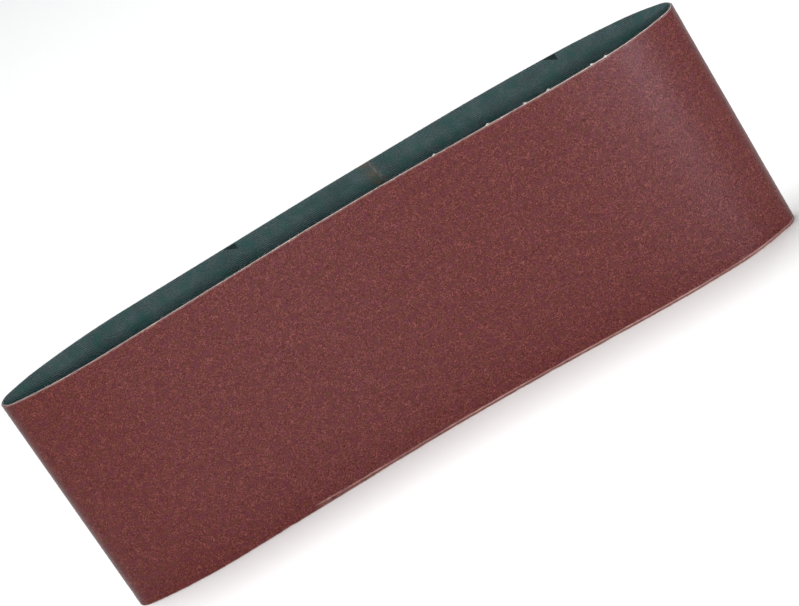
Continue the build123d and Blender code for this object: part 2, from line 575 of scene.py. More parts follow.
@dataclass
class Growth:
    """A Geometry Nodes tree under construction, with its named inputs."""

    name: str
    numbers: tuple[str, ...]
    wholes: tuple[str, ...] = ()
    graph: Graph = field(init=False)
    inputs: Wire = field(init=False)

    def __post_init__(self) -> None:
        """Open the tree and give it its sockets."""
        tree = bpy.data.node_groups.new(self.name, "GeometryNodeTree")
        wanted = {"Start": Socket.GEOMETRY, **dict.fromkeys(self.numbers, Socket.NUMBER)}
        wanted |= {**dict.fromkeys(self.wholes, Socket.WHOLE), "Finish": Socket.FINISH}
        for name, kind in wanted.items():
            tree.interface.new_socket(name, in_out="INPUT", socket_type=kind.value)
        tree.interface.new_socket("Result", in_out="OUTPUT", socket_type=Socket.GEOMETRY.value)
        self.graph = Graph(tree)
        self.inputs = self.graph.add("NodeGroupInput")

    def chance(self, low: Wire | float, high: Wire | float, seed: int) -> Wire:
        """A random number between low and high for each element."""
        values = {2: low, 3: high, 8: seed}
        return self.graph.add("FunctionNodeRandomValue", {"data_type": "FLOAT"}, values, 1)

    def chances(self, low: Sequence[float], high: Sequence[float], seed: int) -> Wire:
        """A random vector between low and high for each element."""
        values = {0: low, 1: high, 8: seed}
        return self.graph.add("FunctionNodeRandomValue", {"data_type": "FLOAT_VECTOR"}, values, 0)

    def vector(self, operation: str, *values: object) -> Wire:
        """A Vector Math node."""
        return self.graph.add("ShaderNodeVectorMath", {"operation": operation}, dict(enumerate(values)))

    def moved(self, geometry: Wire, offset: Wire) -> Wire:
        """The geometry with each point moved by its own offset."""
        return self.graph.add("GeometryNodeSetPosition", None, {"Geometry": geometry, "Offset": offset})

    def on_lines(self, reach: Sequence[float]) -> Wire:
        """Points along the start's edges, a Pitch apart, each moved by up to reach times Jitter.

        Args:
            reach: How far along x, y and z a point may move.

        Returns:
            The points.
        """
        curve = self.graph.add("GeometryNodeMeshToCurve", None, {0: self.inputs.of("Start")})
        values = {"Curve": curve, "Length": self.inputs.of("Pitch")}
        points = self.graph.add("GeometryNodeCurveToPoints", {"mode": "LENGTH"}, values)
        shift = self.chances([-value for value in reach], reach, 1)
        return self.moved(points, self.graph.scaled(shift, self.inputs.of("Jitter")))

    def planted(self, points: Wire, shape: Wire, turn: Wire, scale: Wire, seed: int) -> Wire:
        """One mesh of copies of a shape on points, each with its own random tone.

        Args:
            points: Where the copies stand.
            shape: What is copied.
            turn: Rotation of each.
            scale: Scale of each.
            seed: Fixes the tones.

        Returns:
            The mesh.
        """
        values = {"Points": points, "Instance": shape, "Rotation": turn, "Scale": scale}
        copies = self.graph.add("GeometryNodeInstanceOnPoints", None, values)
        values = {"Geometry": copies, "Name": TONE, "Value": self.chance(0.0, 1.0, seed)}
        settings = {"data_type": "FLOAT", "domain": "INSTANCE"}
        return self.real(self.graph.add("GeometryNodeStoreNamedAttribute", settings, values))

    def real(self, instances: Wire) -> Wire:
        """The instances as one mesh."""
        return self.graph.add("GeometryNodeRealizeInstances", None, {"Geometry": instances})

    def close(self, geometry: Wire, smooth: bool) -> Tree:
        """End the tree.

        Args:
            geometry: What the tree makes, already realised.
            smooth: Whether its faces shade smooth.

        Returns:
            The finished tree.
        """
        shaded = self.graph.add("GeometryNodeSetShadeSmooth", None, {0: geometry, 2: smooth})
        values = {"Geometry": shaded, "Material": self.inputs.of("Finish")}
        dressed = self.graph.add("GeometryNodeSetMaterial", None, values)
        self.graph.add("NodeGroupOutput", None, {0: dressed})
        return self.graph.tree


# ---------------- finishes
@dataclass(frozen=True)
class Finish:
    """A surface finish, made into a material on one Principled shader."""

    name: str
    specular: float = 0.4
    bump: float = 0.02  # height of the relief, in millimetres

    def strip(self, g: Graph) -> Wire:
        """Place on the strip, in millimetres."""
        return g.add("ShaderNodeUVMap", {"uv_map": STRIP_MAP})

    def space(self, g: Graph) -> Wire:
        """Place in the object, in millimetres."""
        place = g.add("ShaderNodeTexCoord", None, None, "Object")
        return g.scaled(place, 1 / MM)

    def noise(self, g: Graph, at: Wire, pitch: float, detail: float = 2.0) -> Wire:
        """Cloudy values about 0.5, with clouds about pitch millimetres wide."""
        return g.add("ShaderNodeTexNoise", None, {"Vector": at, "Scale": 1 / pitch, "Detail": detail})

    def cells(self, g: Graph, at: Wire, pitch: float) -> Wire:
        """Distance within random cells about pitch millimetres wide; its Color is a tone per cell."""
        return g.add("ShaderNodeTexVoronoi", None, {"Vector": at, "Scale": 1 / pitch})

    def attribute(self, g: Graph, name: str) -> Wire:
        """A number that the mesh holds."""
        return g.add("ShaderNodeAttribute", {"attribute_name": name}, None, "Fac")

    def colour(self, g: Graph) -> Wire:
        """Base colour."""
        raise NotImplementedError

    def roughness(self, g: Graph) -> Wire:
        """Roughness."""
        raise NotImplementedError

    def height(self, g: Graph) -> Wire:
        """Relief, from 0 to 1."""
        raise NotImplementedError

    def material(self) -> bpy.types.Material:
        """The finish as a material, made once."""
        if self.name in bpy.data.materials:
            return bpy.data.materials[self.name]
        made = bpy.data.materials.new(self.name)
        made.use_nodes = True
        made.node_tree.nodes.clear()
        g = Graph(made.node_tree)
        relief = {"Strength": 1.0, "Distance": self.bump * MM, "Height": self.height(g)}
        values = {
            "Base Color": self.colour(g),
            "Roughness": self.roughness(g),
            "Normal": g.add("ShaderNodeBump", None, relief),
            "Specular IOR Level": self.specular,
        }
        shader = g.add("ShaderNodeBsdfPrincipled", None, values)
        g.add("ShaderNodeOutputMaterial", None, {"Surface": shader})
        return made


@dataclass(frozen=True)
class Grit(Finish):
    """Red-brown abrasive under its size resin: grains of uneven tone, pale where worn."""

    dark: Colour = (0.050, 0.004, 0.005)
    middle: Colour = (0.096, 0.0095, 0.0075)
    light: Colour = (0.222, 0.058, 0.050)
    violet: Colour = (0.092, 0.009, 0.022)
    rust: Colour = (0.092, 0.022, 0.006)
    worn: Colour = (0.520, 0.330, 0.300)
    grain: float = 0.35
    on_strip: bool = True
    spread: float = 1.0  # how much the grains differ in tone

    def where(self, g: Graph) -> Wire:
        """The coordinates that the pattern follows."""
        return self.strip(g) if self.on_strip else self.space(g)

    def tone(self, g: Graph) -> Wire:
        """One number for each grain."""
        if not self.on_strip:
            return self.attribute(g, TONE)
        cells = self.cells(g, self.where(g), self.grain)
        return g.add("ShaderNodeSeparateColor", None, {0: cells.of("Color")})

    def colour(self, g: Graph) -> Wire:
        """Grain tones over slow clouds of darker and warmer resin."""
        stops = list(zip((0.0, 0.38, 0.60, 1.0), (self.dark, self.middle, self.middle, self.light)))
        clouds = (self.noise(g, self.where(g), 3.5) - 0.5) * 0.35
        tone = (self.tone(g) - 0.5) * self.spread + 0.5 + clouds
        base = g.add("ShaderNodeValToRGB", {"stops": stops}, {0: tone})
        cool = g.mix(self.noise(g, self.where(g), 3.1, 3.0).ramp(0.46, 0.64) * 0.6, base, self.violet)
        warm = g.mix(self.noise(g, self.where(g), 2.6, 3.0).ramp(0.48, 0.66) * 0.55, cool, self.rust)
        if not self.on_strip:
            return warm
        return g.mix(self.attribute(g, WEAR), warm, self.worn)

    def roughness(self, g: Graph) -> Wire:
        """Resin that is shinier on some grains than on others."""
        return 0.26 + self.tone(g) * 0.18

    def height(self, g: Graph) -> Wire:
        """Facets of the smaller grains."""
        if not self.on_strip:
            return self.noise(g, self.where(g), 0.12)
        return 1.0 - self.cells(g, self.where(g), self.grain)


@dataclass(frozen=True)
class Twill(Finish):
    """Dyed twill cloth under a thin dressing: diagonal ribs with a float at each crossing."""

    # valley is the painted shade of the rib valleys and crest the painted highlight of the rib crests
    valley_shade: Colour = (0.020, 0.050, 0.054)
    crest: Colour = (0.150, 0.220, 0.232)
    teal: Colour = (0.030, 0.130, 0.116)
    stain: Colour = (0.150, 0.128, 0.100)
    float_pitch: float = 0.9
    float_lean: float = 0.6  # how far the floats of a row climb for each millimetre along the strip
    stain_start: float = -8.34  # where the stain's line meets the lower edge, along the strip
    stain_slope: float = 0.249  # how far that line moves on for each millimetre of height

    def ribs(self, g: Graph) -> Wire:
        """0 in the valleys between ribs and 1 on their crests."""
        parts = g.parts(self.strip(g))
        along = parts - parts.of("Y") / RIB_RISE
        crests = (along * (2 * math.pi / RIB_PITCH)).sine()
        floats = ((parts.of("Y") + parts * self.float_lean) * (2 * math.pi / self.float_pitch)).sine()
        return crests * 0.32 + crests * floats * 0.14 + floats * 0.06 + 0.5

    def colour(self, g: Graph) -> Wire:
        """Painted shade in the valleys and painted highlight on the rib crests and floats, with yarns of
        uneven dye.
        """
        at = self.strip(g)
        uneven = (self.noise(g, at, 0.8) - 0.5) * 0.9 + (self.noise(g, at, 11.0, 1.0) - 0.5) * 0.6
        # painted shade and highlight of the weave: dark in the valleys, light on the crests and floats
        woven_shading = g.mix((self.ribs(g) + uneven).ramp(0.0, 1.0), self.valley_shade, self.crest)
        dyed = g.mix(self.noise(g, at, 5.0).ramp(0.46, 0.72) * 0.8, woven_shading, self.teal)
        return g.mix(self.stained(g), dyed, self.stain)

    def stained(self, g: Graph) -> Wire:
        """How much glue has soaked in beside the joint, in patches up its height."""
        at = self.strip(g)
        parts = g.parts(at)
        past = parts - (parts.of("Y") * self.stain_slope + self.stain_start)
        # Ribs that cross the joint count their place from the strip's other end, once round.
        near = [p.ramp(-0.6, 0.4) * (1.0 - p.ramp(3.0, 6.5)) for p in (past, past - ROUND)]
        return (near[0] + near[1]) * self.noise(g, at, 2.6, 3.0).ramp(0.38, 0.56)

    def roughness(self, g: Graph) -> Wire:
        """The dressing is glossier where it fills the valleys."""
        return 0.5 + self.ribs(g) * 0.18

    def height(self, g: Graph) -> Wire:
        """Ribs and floats."""
        return self.ribs(g)


@dataclass(frozen=True)
class Clouded(Finish):
    """A plain stuff of two tones, such as a resin, a glue, ink or paper, with a fine uneven skin."""

    dark: Colour = (0.10, 0.03, 0.02)
    light: Colour = (0.20, 0.07, 0.05)
    gloss: float = 0.45
    uneven_gloss: float = 0.3
    cloud: float = 0.9  # width of the clouds, in millimetres
    patch: float = 1.7  # width of the duller patches
    skin: float = 0.25  # width of the skin's hills
    blend: tuple[float, float] = (0.3, 0.7)  # cloud values that are all dark and all light

    def clouds(self, g: Graph) -> Wire:
        """How light the stuff is, from 0 to 1."""
        return self.noise(g, self.space(g), self.cloud)

    def colour(self, g: Graph) -> Wire:
        """Clouds of the two tones."""
        return g.mix(self.clouds(g).ramp(*self.blend), self.dark, self.light)

    def roughness(self, g: Graph) -> Wire:
        """Duller in patches."""
        return self.gloss + (self.noise(g, self.space(g), self.patch) - 0.5) * self.uneven_gloss

    def height(self, g: Graph) -> Wire:
        """A fine uneven skin."""
        return self.noise(g, self.space(g), self.skin)


@dataclass(frozen=True)
class CutCotton(Clouded):
    """Yarn where the cloth is cut, and its loose fibres: each a little different."""

    dark: Colour = (0.36, 0.30, 0.27)
    light: Colour = (0.72, 0.61, 0.56)
    gloss: float = 0.88
    uneven_gloss: float = 0.2
    cloud: float = 0.35
    patch: float = 0.8
    skin: float = 0.08
    dirt: float = 5.0  # width of the dirtier patches
    dirt_share: float = 0.3

    def clouds(self, g: Graph) -> Wire:
        """Uneven yarns, dirtier in patches."""
        dirt = self.noise(g, self.space(g), self.dirt) * self.dirt_share
        return self.noise(g, self.space(g), self.cloud) * (1 - self.dirt_share) + dirt


SIZE_RESIN = Grit("size_resin_grit", specular=0.25, bump=0.045)
LOOSE_GRIT = Grit("abrasive_grit", specular=0.25, on_strip=False)
DRESSED_TWILL = Twill("dressed_twill", specular=0.25, bump=0.05)
DYED_COTTON = CutCotton("dyed_cotton", dark=(0.018, 0.040, 0.040), light=(0.090, 0.105, 0.098))
CUT_COTTON = CutCotton("cut_cotton")
FLUFF = CutCotton("torn_fluff", dark=(0.75, 0.72, 0.70), light=(0.95, 0.94, 0.92))
FILLED_EDGE = Clouded(
    "filled_edge", dark=(0.40, 0.285, 0.26), light=(0.70, 0.56, 0.51), gloss=0.7, cloud=0.5
)
MAKE_RESIN = Clouded("make_resin", dark=(0.08, 0.02, 0.018), light=(0.16, 0.05, 0.04))
JOINT_GLUE = Clouded(
    "squeezed_glue", dark=(0.030, 0.044, 0.042), light=(0.200, 0.200, 0.180), gloss=0.6, cloud=0.8
)
PRINT_INK = Clouded(
    "print_ink", 0.1, dark=(0.008, 0.020, 0.020), light=(0.020, 0.048, 0.045), gloss=0.6, cloud=0.5
)
PAPER = Clouded(
    "backdrop_paper",
    dark=(0.95, 0.945, 0.94),
    light=(0.93, 0.925, 0.92),
    gloss=0.90,
    uneven_gloss=0.1,
    cloud=4.0,
    patch=4.0,
    skin=0.6,
    blend=(0.0, 1.0),
)


# ---------------- the laminate
class Cut(Enum):
    """Which cut a layer's two ends meet at."""

    SCARF = "film_at"
    SEAM = "seam_at"


@dataclass
class Edges:
    """How slitting and handling left the belt's two edges."""

    loop: BeltLoop
    chip: float = 0.26  # usual height of bare backing above the coat
    chip_pitch: float = 0.9
    deep_chip: float = 0.22
    deep_pitch: float = 7.0
    fine_chip: float = 0.10
    least_bare: float = 0.04
    frayed_from: float = 60.0  # x past which more backing shows
    frayed_run: float = 50.0
    frayed_more: float = 0.12
    lip: float = 0.25  # height of the pale lip beside a chipped edge
    lip_wear: float = 0.75
    scuff_start: float = -68.0  # x where the scuffed line begins on the near run
    scuff_fade: float = 5.0  # length over which it fades in
    scuff_height: float = 1.2
    scuff_rise: float = 1.0  # how much higher it begins
    scuff_settles: float = 42.0 / 2.2  # length over which most of that rise dies out
    scuff_wander: float = 0.08
    scuff_width: float = 0.62
    scuff_depth: float = 0.05
    wear_below: float = 0.12  # of the band between the scuffed line and the lower edge

    def bare(self, s: Array, seed: int) -> Array:
        """Height of bare backing between the coat and the belt's edge, in millimetres.

        Args:
            s: Distances along the strip.
            seed: Tells the upper edge from the lower.

        Returns:
            One height for each distance.
        """
        past = (self.loop.trace(s)[0] - self.frayed_from) / self.frayed_run
        more = np.clip(past, 0, 1) * self.frayed_more
        fine = lumps(s, 0.0, self.chip_pitch, seed) * 0.6
        fine = fine + lumps(s, 0.0, self.chip_pitch / 3, seed + 1) * 0.4
        deep = np.clip(lumps(s, 0.0, self.deep_pitch, seed + 2) * 1.6 - 0.5, 0, 1)
        usual = self.chip + more + self.fine_chip * fine
        return np.maximum(self.least_bare, usual + self.deep_chip * deep)

    def on_scuff(self, s: Array) -> tuple[Array, Array]:
        """Where the scuffed line runs.

        Args:
            s: Distances along the strip.

        Returns:
            Whether each distance has the line, fading in over its first millimetres, and its height.
        """
        x, _, heading = self.loop.trace(s)
        near = np.cos(heading) > 0.05
        run = x - self.scuff_start
        share = np.where(near, np.clip(run / self.scuff_fade, 0, 1), 0.0)
        rise = self.scuff_rise * np.exp(-np.clip(run, 0, None) / self.scuff_settles)
        wander = self.scuff_wander * lumps(s, 0.0, 2.5, Seed.SCUFF_HEIGHT)
        return share, self.scuff_height + rise + wander

    def wear(self, s: Array, z: Array) -> Array:
        """How worn the coat is, from 0 to 1: pale along its chipped edges and on the scuffed line.

        Args:
            s: Distances along the strip.
            z: Heights.

        Returns:
            One value for each place.
        """
        share, height = self.on_scuff(s)
        specks = 0.78 + 0.22 * lumps(s, z, 1.1, Seed.SCUFF_SPECKS)
        broken = specks * (0.72 + 0.28 * lumps(s, 0.0, 13.0, Seed.SCUFF_BREAKS))
        line = share * np.clip(1.3 - np.abs(z - height) / (self.scuff_width / 2), 0, 1) * broken
        line = np.maximum(line, share * np.clip((height - z) / 0.2, 0, 1) * self.wear_below)
        top = self.loop.width - z - self.bare(s, Seed.UPPER_CHIPS)
        bottom = z - self.bare(s, Seed.LOWER_CHIPS)
        specks = 0.55 + 0.45 * lumps(s, z, 0.6, Seed.LIP_SPECKS)
        lips = [np.clip(1 - gap / self.lip, 0, 1) * specks for gap in (top, bottom)]
        return np.clip(np.maximum(line, np.maximum(*lips) * self.lip_wear), 0, 1)

    def dent(self, s: Array, z: Array) -> Array:
        """How far the coat is pressed in below the scuffed line, in millimetres."""
        share, height = self.on_scuff(s)
        return share * np.clip((height - 0.25 - z) / 0.3, 0, 1) * self.scuff_depth


@dataclass
class Layer:
    """One layer of the laminate: a closed slab round the whole strip, cut where its ends meet."""

    name: str
    node: str
    slot: str
    finish: Finish
    inner: float
    outer: float
    cut: Cut
    gap: float
    finest: float = 0.42
    coarsest: float = 2.0
    row_pitch: float = 8.0
    bare_share: float = 0.0  # how much of the chipped height this layer lost
    relief: float = 0.0  # unevenness of its outer face
    relief_pitch: float = 1.2
    worn: bool = False

    def columns(self, loop: BeltLoop) -> Array:
        """Upright columns from one end of the strip to the other."""
        half = self.gap / 2 / math.cos(math.radians(loop.joint_slant))
        return loop.stations(half, loop.length - half, self.finest, self.coarsest)

    def rows(self, loop: BeltLoop) -> Array:
        """Heights of the rows, close together by the edges where the layer is worn."""
        if not self.worn:
            return np.linspace(0, loop.width, round(loop.width / self.row_pitch) + 1)
        edge = np.array([0.0, 0.25, 0.5, 0.75, 0.95, 1.15, 1.4, 1.7, 2.05, 2.5, 3.2])
        middle = np.arange(4.2, loop.width - 2.4, self.row_pitch)
        return np.concatenate([edge, middle, loop.width - np.array([1.6, 1.0, 0.6, 0.3, 0.0])])

    def build(self, loop: BeltLoop, edges: Edges) -> Piece:
        """Make and dress the layer.

        Args:
            loop: The strip's path.
            edges: How its edges are worn.

        Returns:
            The piece.
        """
        column, height = np.meshgrid(self.columns(loop), self.rows(loop))
        top = loop.width - self.bare_share * edges.bare(column, Seed.UPPER_CHIPS)
        bottom = self.bare_share * edges.bare(column, Seed.LOWER_CHIPS)
        z = bottom + (top - bottom) * height / loop.width
        follow = getattr(loop, self.cut.value)
        outer_s = loop.lean(column, z, self.outer, follow)
        outward = self.outer + self.relief * lumps(outer_s, z, self.relief_pitch, Seed.COAT)
        if self.worn:
            outward = outward - edges.dent(outer_s, z)
        inner_s = loop.lean(column, z, self.inner, follow)
        points = np.stack([loop.place(outer_s, z, outward), loop.place(inner_s, z, self.inner)])
        strip = np.stack([np.stack([s, z], axis=-1) for s in (outer_s, inner_s)])
        wear = np.stack([edges.wear(outer_s, z), np.zeros_like(z)]) if self.worn else None
        piece = new_piece(self.name, points, slab_faces(*column.shape), strip, wear)
        piece.data.materials.append(self.finish.material())
        return belongs(piece, self.node)


@dataclass
class Laminate:
    """The strip's six layers, from the dressed inner face out to the size resin."""

    loop: BeltLoop
    edges: Edges
    dressing: float = 0.08
    cloth: float = 0.48
    fill: float = 0.08
    make: float = 0.10
    grain: float = 0.24
    size: float = 0.08
    seam: float = 0.5

    def layers(self) -> list[Layer]:
        """The layers in order, each resting on the one before."""
        at = np.cumsum([0, self.dressing, self.cloth, self.fill, self.make, self.grain, self.size])
        scarf, seam = (Cut.SCARF, self.loop.film_width()), (Cut.SEAM, self.seam)
        top = {"coarsest": 1.3, "row_pitch": 1.6, "relief": 0.05, "worn": True, "bare_share": 1.0}
        return [
            Layer("inner_dressing", "back_size_coat", "back_dressing", DRESSED_TWILL, *at[0:2], *scarf),
            Layer("cloth_core", "backing_cloth", "cotton_twill", DYED_COTTON, *at[1:3], *scarf),
            Layer("front_fill", "front_fill_coat", "filler", FILLED_EDGE, *at[2:4], *scarf),
            Layer("make_resin", "make_coat", "resin", MAKE_RESIN, *at[3:5], *seam, bare_share=0.7),
            Layer("grain_bed", "abrasive_grain", "grain", SIZE_RESIN, *at[4:6], *seam, bare_share=0.9),
            Layer("size_resin", "size_coat", "size_resin", SIZE_RESIN, *at[5:7], *seam, **top),
        ]

    def build(self) -> list[Piece]:
        """Make every layer."""
        return [layer.build(self.loop, self.edges) for layer in self.layers()]


# ---------------- grains
@dataclass
class Grains:
    """The coarser grains that stand out of the size resin, each an eight-sided chip."""

    loop: BeltLoop
    edges: Edges
    seat: float = 0.97  # depth of a grain's middle
    bands: int = 6
    spacing: float = 0.46
    density: float = 1.75  # most grains to a square millimetre
    smallest: float = 0.10  # radius
    largest: float = 0.21
    ragged: float = 0.055
    margin: float = 0.35
    half_gap: float = 0.45  # from the seam's middle to the first grains
    clear: float = 0.15  # height of coat without grains beside a chip
    finest: float = 0.6

    def bed(self, start: float, end: float, name: str) -> Piece:
        """Open sheet that grains are scattered over, between two distances along the strip.

        Args:
            start: Where it begins.
            end: Where it ends.
            name: Object name.

        Returns:
            The sheet.
        """
        loop = self.loop
        edge = np.array([0.0, 0.5, 1.0, 1.5, 2.2, 3.0])
        wide = loop.width
        rows = np.concatenate([edge, np.arange(5.0, wide - 4, 3.0), wide - edge[::-1]])
        rows = np.clip(rows, self.margin, wide - self.margin)
        column, z = np.meshgrid(loop.stations(start, end, self.finest, 2.0), np.unique(rows))
        column = np.clip(column, self.half_gap, loop.length - self.half_gap)
        s = loop.lean(column, z, 0.0, loop.seam_at)
        upper = self.edges.bare(s, Seed.UPPER_CHIPS) + self.clear
        lower = self.edges.bare(s, Seed.LOWER_CHIPS) + self.clear
        lost = (wide - z < upper) | (z < lower)
        gone = np.maximum(lost, self.edges.wear(s, z))
        depth = self.seat - self.edges.dent(s, z)
        strip = np.stack([s, z], axis=-1)
        return new_piece(name, loop.place(s, z, depth), quads(*column.shape), strip, gone)

    def tree(self) -> Tree:
        """Chips at random over the sheet, fewer where it is worn, every one of its own shape."""
        names = ("Spacing", "Density", "Smallest", "Largest", "Ragged")
        growth = Growth("scattered_grains", names, ("Seed",))
        g, given = growth.graph, growth.inputs
        lost = g.add("GeometryNodeInputNamedAttribute", {"data_type": "FLOAT"}, {"Name": WEAR})
        values = {
            "Mesh": given.of("Start"),
            "Distance Min": given.of("Spacing"),
            "Density Max": given.of("Density"),
            "Density Factor": 1 - lost,
            "Seed": given.of("Seed"),
        }
        points = g.add("GeometryNodeDistributePointsOnFaces", {"distribute_method": "POISSON"}, values)
        chip = g.add("GeometryNodeMeshUVSphere", None, {"Segments": 4, "Rings": 2, "Radius": 1.0})
        size = growth.chance(0.0, 1.0, 2) ** 1.6
        radius = given.of("Smallest") + (given.of("Largest") - given.of("Smallest")) * size
        turn = growth.chances((0, 0, 0), (math.tau, math.tau, math.tau), 3)
        scale = g.scaled(growth.chances((0.8, 0.8, 0.8), (1.3, 1.3, 1.3), 4), radius)
        shift = g.scaled(growth.chances((-1, -1, -1), (1, 1, 1), 6), given.of("Ragged"))
        chips = growth.planted(points, chip, turn, scale, 5)
        return growth.close(growth.moved(chips, shift), smooth=False)

    def build(self) -> list[Piece]:
        """Grow the grains band by band round the strip."""
        tree, made = self.tree(), []
        stops = np.linspace(0, self.loop.length, self.bands + 1)
        sizes = {"Spacing": self.spacing, "Ragged": self.ragged}
        sizes |= {"Smallest": self.smallest, "Largest": self.largest}
        for i in range(self.bands):
            name = f"grains_{i + 1}"
            bed = self.bed(stops[i], stops[i + 1], name + "_bed")
            others = {"Density": self.density / MM**2, "Seed": Seed.GRAINS + i}
            made.append(belongs(grown(bed, tree, name, LOOSE_GRIT, sizes, others)))
        return made


# ---------------- weave and cut edges
@dataclass
class TwillRibs:
    """The cloth's diagonal ribs, standing out of the dressing on the inner face."""

    loop: BeltLoop
    half_width: float = 0.22
    flatness: float = 0.25
    crest: float = 0.06  # how far a rib stands in from the inner face
    points: int = 28  # along each rib

    def path(self) -> Piece:
        """An open line of edges once round the strip's foot, from the joint back to it."""
        s = self.loop.stations(0.0, self.loop.length, 0.3, 1.0)
        links = [(i, i + 1) for i in range(len(s) - 1)]
        return new_line("rib_path", self.loop.place(s, 0.0, 0.0), links)

    def tree(self) -> Tree:
        """Straight ribs side by side on the flat strip, which is then rolled round the path."""
        growth = Growth("twill_ribs_on_path", ("Length", "Width", "Pitch", "Half Width", "Depth"))
        g, given = growth.graph, growth.inputs
        length, width, pitch = given.of("Length"), given.of("Width"), given.of("Pitch")
        end = g.joined(width / RIB_RISE, width)
        line = g.add("GeometryNodeCurvePrimitiveLine", None, {"End": end})
        values = {"Curve": line, "Count": self.points}
        line = g.add("GeometryNodeResampleCurve", {"mode": "COUNT"}, values)
        radius = {"Resolution": 4, "Radius": given.of("Half Width")}
        profile = g.add("GeometryNodeCurvePrimitiveCircle", None, radius)
        values = {"Curve": line, "Profile Curve": profile, "Fill Caps": True}
        rib = g.add("GeometryNodeCurveToMesh", None, values)
        rib = g.add("GeometryNodeTransform", None, {"Geometry": rib, "Scale": (1.0, 1.0, self.flatness)})
        first = g.joined(pitch / 4, 0.0, given.of("Depth"))
        values = {"Count": length / pitch, "Start Location": first, "Offset": g.joined(pitch)}
        row = g.add("GeometryNodeMeshLine", None, values)
        ribs = growth.real(g.add("GeometryNodeInstanceOnPoints", None, {"Points": row, "Instance": rib}))
        flat = g.add("GeometryNodeInputPosition")
        values = {"Geometry": ribs, "Name": STRIP_MAP, "Value": g.scaled(flat, 1 / MM)}
        settings = {"data_type": "FLOAT2", "domain": "CORNER"}
        ribs = g.add("GeometryNodeStoreNamedAttribute", settings, values)
        parts = g.parts(flat)
        turn = g.add("ShaderNodeMath", {"operation": "FRACT"}, {0: parts / length})
        curve = g.add("GeometryNodeMeshToCurve", None, {0: given.of("Start")})
        values = {"Curves": curve, "Factor": turn}
        on_path = g.add("GeometryNodeSampleCurve", {"mode": "FACTOR"}, values, "Position")
        out = growth.vector("CROSS_PRODUCT", on_path.of("Tangent"), (0.0, 0.0, 1.0))
        rolled = growth.vector("ADD", on_path, g.scaled(out, parts.of("Z")))
        rolled = growth.vector("ADD", rolled, g.joined(0.0, 0.0, parts.of("Y")))
        values = {"Geometry": ribs, "Position": rolled}
        return growth.close(g.add("GeometryNodeSetPosition", None, values), smooth=True)

    def build(self) -> Piece:
        """Roll the ribs round the inner face."""
        depth = self.half_width * self.flatness - self.crest
        sizes = {"Length": self.loop.length, "Width": self.loop.width, "Pitch": RIB_PITCH}
        sizes |= {"Half Width": self.half_width, "Depth": depth}
        ribs = grown(self.path(), self.tree(), "twill_ribs", DRESSED_TWILL, sizes)
        return belongs(ribs)


